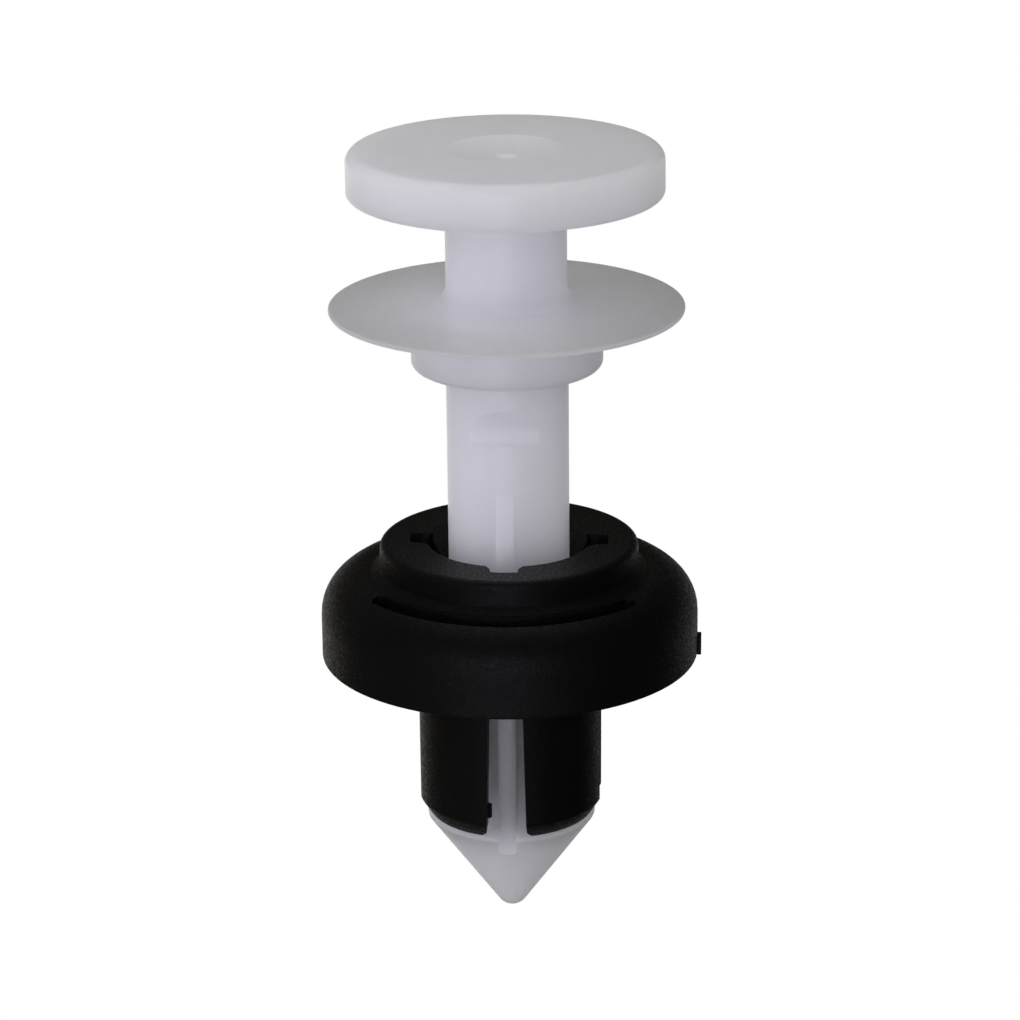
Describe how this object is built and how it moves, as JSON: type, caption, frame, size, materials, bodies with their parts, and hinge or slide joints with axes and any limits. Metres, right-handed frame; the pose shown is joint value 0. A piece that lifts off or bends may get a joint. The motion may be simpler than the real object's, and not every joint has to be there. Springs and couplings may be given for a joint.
{
  "type": "plastic push rivet",
  "caption": "Two-piece push rivet: a white push pin with a slotting neck and soft disc slides in a black four-legged split sleeve with a domed sealing flange.",
  "frame": {"origin": "centre of the head's outer face, which the rivet stands on", "axes": "+Z along the rivet's axis from the head to the pointed tip; the locking notches, key ribs and kidney slots lie on the -Y and +Y sides; the gate mark on the flange is at -X"},
  "size_m": [0.0202, 0.02, 0.0422],
  "materials": {
    "white_nylon": "satin, slightly translucent natural nylon",
    "black_nylon": "fine-grained matte on the flange and ring, smoother on the legs"
  },
  "bodies": {
    "pin": {"push_pin": "white_nylon"},
    "sleeve": {"split_sleeve": "black_nylon"}
  },
  "joints": [
    {"name": "pin_stroke", "type": "slide", "parent": "pin", "child": "sleeve", "axis": [0, 0, -1], "range_m": [0, 0.00953]}
  ]
}
